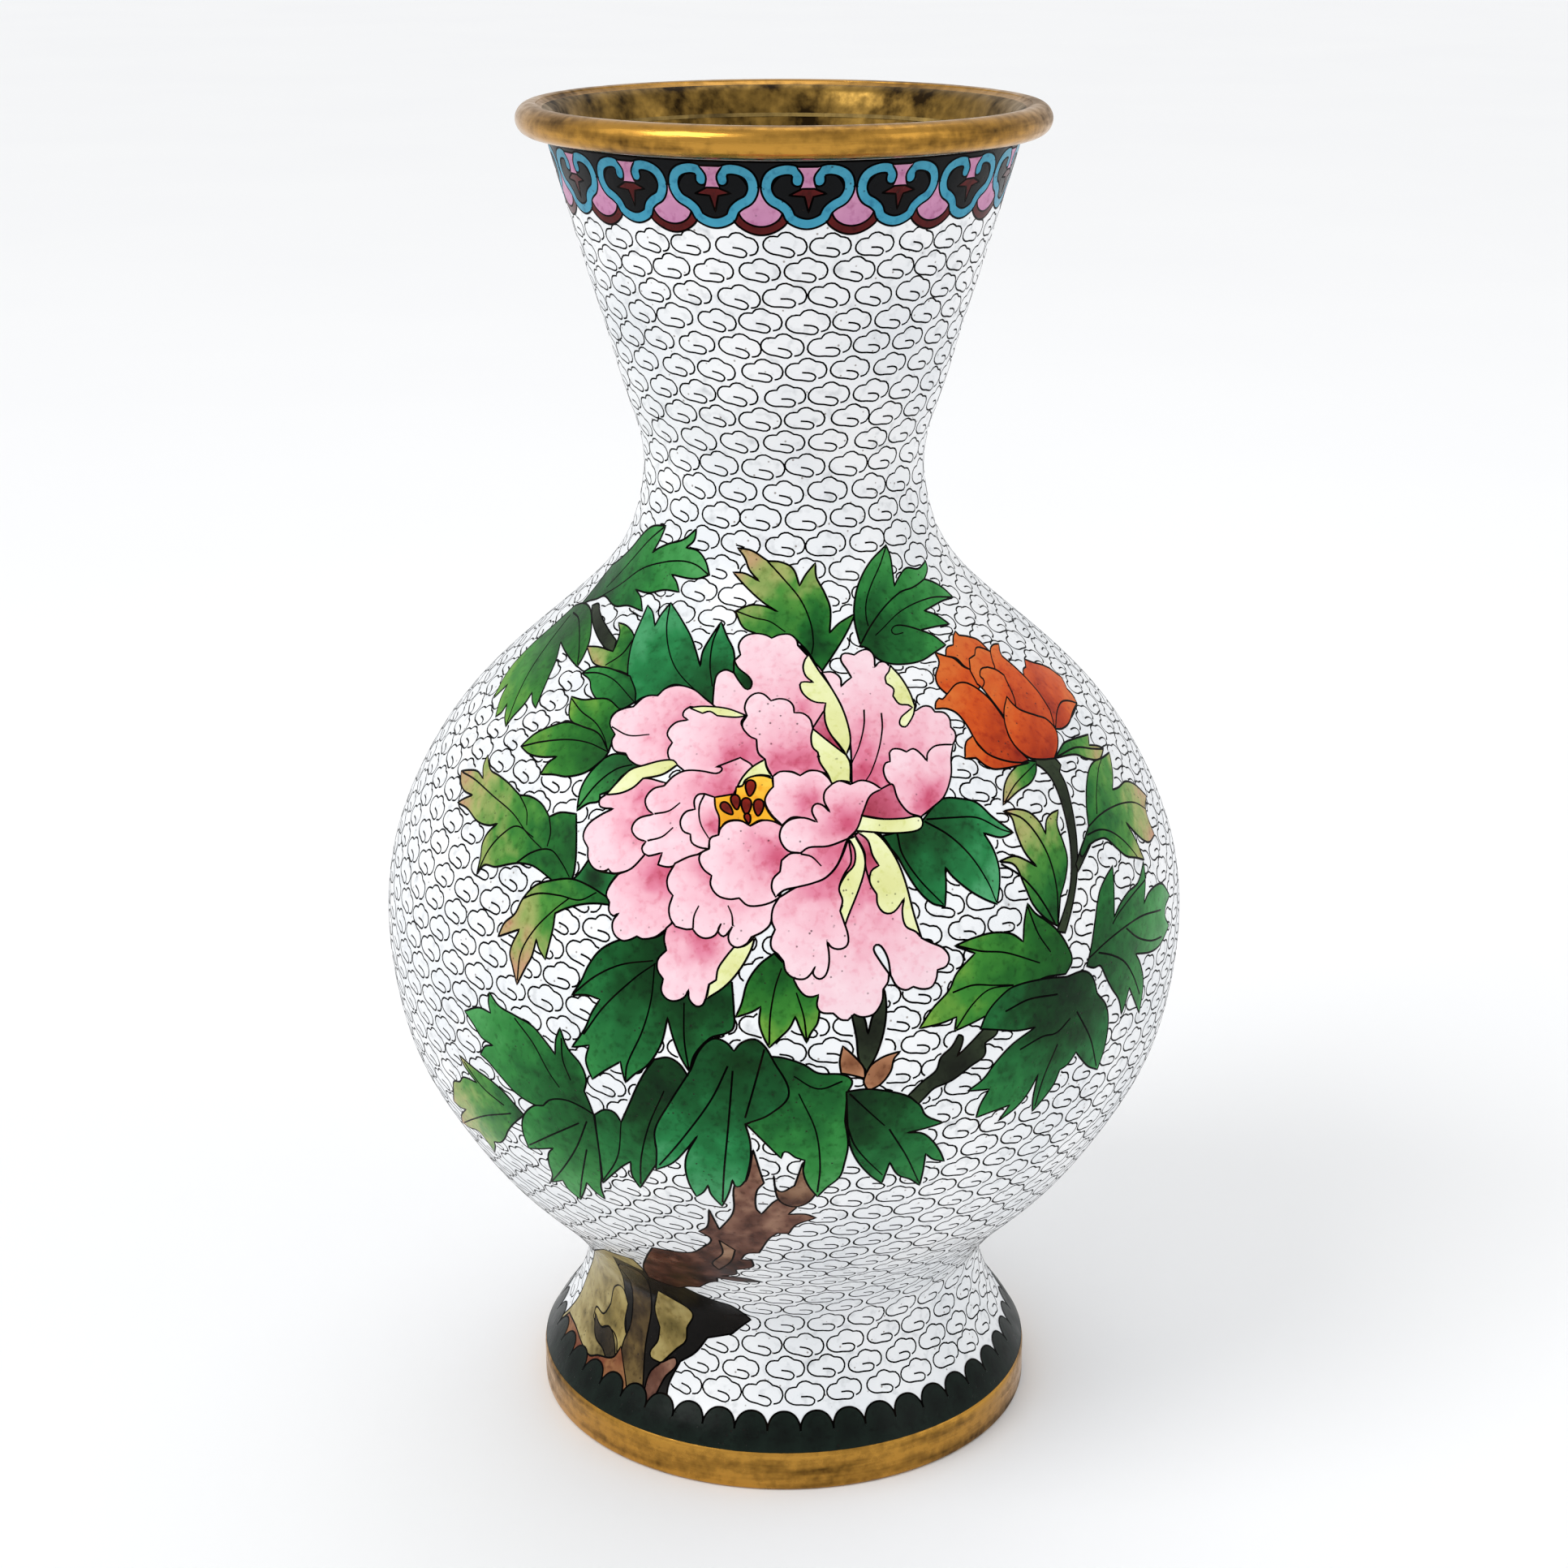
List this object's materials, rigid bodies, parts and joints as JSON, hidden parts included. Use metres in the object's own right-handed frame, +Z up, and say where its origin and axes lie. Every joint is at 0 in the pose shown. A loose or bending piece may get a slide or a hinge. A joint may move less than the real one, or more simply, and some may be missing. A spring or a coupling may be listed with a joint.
{
  "type": "vase",
  "caption": "Baluster vase with a flared neck, a full rounded body, a narrow ankle and a spreading foot, open at the mouth, with an enamelled flower and cloud wires.",
  "frame": {"origin": "centre of the face that the vase stands on, under the foot ring", "axes": "+Z up along the vase's axis, -Y towards the side with the large flower"},
  "size_m": [0.1834, 0.1834, 0.305],
  "materials": {
    "gilt_brass": "worn gilt with dark brushed streaks",
    "sheet_copper": "raised sheet, bare and tarnished inside",
    "brazing": "brazed joint, left rough",
    "cloison_wire": "drawn flat wire, ground flush and tarnished dark",
    "white_enamel": "fired, stoned and polished, fine pits",
    "collar_enamel": "fired and polished, black, sky blue, maroon and pink",
    "border_enamel": "fired and polished, green black",
    "peony_enamel": "fired and polished, rose shading to pale pink",
    "bud_enamel": "fired and polished, orange shading to red",
    "leaf_enamel": "fired and polished, dark to yellow green",
    "branch_enamel": "fired and polished, brown",
    "rock_enamel": "fired and polished, ochre shading to black"
  },
  "bodies": {
    "root": {"lip_ring": "gilt_brass", "lip_solder": "brazing", "neck_shell": "sheet_copper", "shoulder_shell": "sheet_copper", "belly_shell": "sheet_copper", "foot_shell": "sheet_copper", "waist_braze": "brazing", "girth_braze": "brazing", "ankle_braze": "brazing", "foot_solder": "brazing", "foot_ring": "gilt_brass", "base_plate": "gilt_brass", "base_solder": "brazing", "neck_enamel": "white_enamel", "shoulder_enamel": "white_enamel", "belly_enamel": "white_enamel", "foot_enamel": "white_enamel", "collar_enamel": "collar_enamel", "foot_border_enamel": "border_enamel", "collar_wire": "cloison_wire", "border_wire": "cloison_wire", "peony_enamel": "peony_enamel", "bud_enamel": "bud_enamel", "branch_enamel": "branch_enamel", "rock_enamel": "rock_enamel", "leaf_enamel_1": "leaf_enamel", "leaf_enamel_2": "leaf_enamel", "leaf_enamel_3": "leaf_enamel", "leaf_enamel_4": "leaf_enamel", "leaf_enamel_5": "leaf_enamel", "leaf_enamel_6": "leaf_enamel", "leaf_enamel_7": "leaf_enamel", "leaf_enamel_8": "leaf_enamel", "leaf_enamel_9": "leaf_enamel", "leaf_enamel_10": "leaf_enamel", "leaf_enamel_11": "leaf_enamel", "leaf_enamel_12": "leaf_enamel", "leaf_enamel_13": "leaf_enamel", "leaf_enamel_14": "leaf_enamel", "leaf_enamel_15": "leaf_enamel", "leaf_enamel_16": "leaf_enamel", "leaf_enamel_17": "leaf_enamel", "leaf_enamel_18": "leaf_enamel"}
  },
  "joints": []
}
